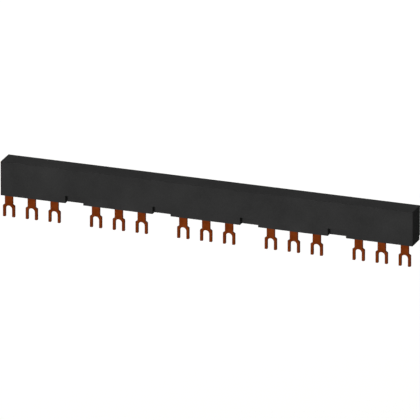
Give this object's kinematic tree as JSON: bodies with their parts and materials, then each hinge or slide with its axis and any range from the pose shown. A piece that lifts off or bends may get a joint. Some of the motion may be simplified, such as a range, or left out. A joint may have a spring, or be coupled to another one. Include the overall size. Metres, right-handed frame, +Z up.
{
  "type": "comb busbar",
  "caption": "Insulated three-phase comb busbar: black moulded housing over stamped copper combs, with rows of open forks along its lower edge for screw terminals.",
  "frame": {"origin": "screw axis of the middle fork, halfway through its copper", "axes": "+X along the bar to the right, +Y from the front to the rear, +Z up, away from the forks"},
  "size_m": [0.2591, 0.0135, 0.0348],
  "materials": {
    "housing_plastic": "fine satin, moulded",
    "strip_plastic": "plain, extruded",
    "copper": "bare stamped copper"
  },
  "bodies": {
    "root": {"front_housing": "housing_plastic", "rear_cover": "housing_plastic", "front_insulator": "strip_plastic", "rear_insulator": "strip_plastic", "phase_comb_l1": "copper", "phase_comb_l2": "copper", "phase_comb_l3": "copper"}
  },
  "joints": []
}
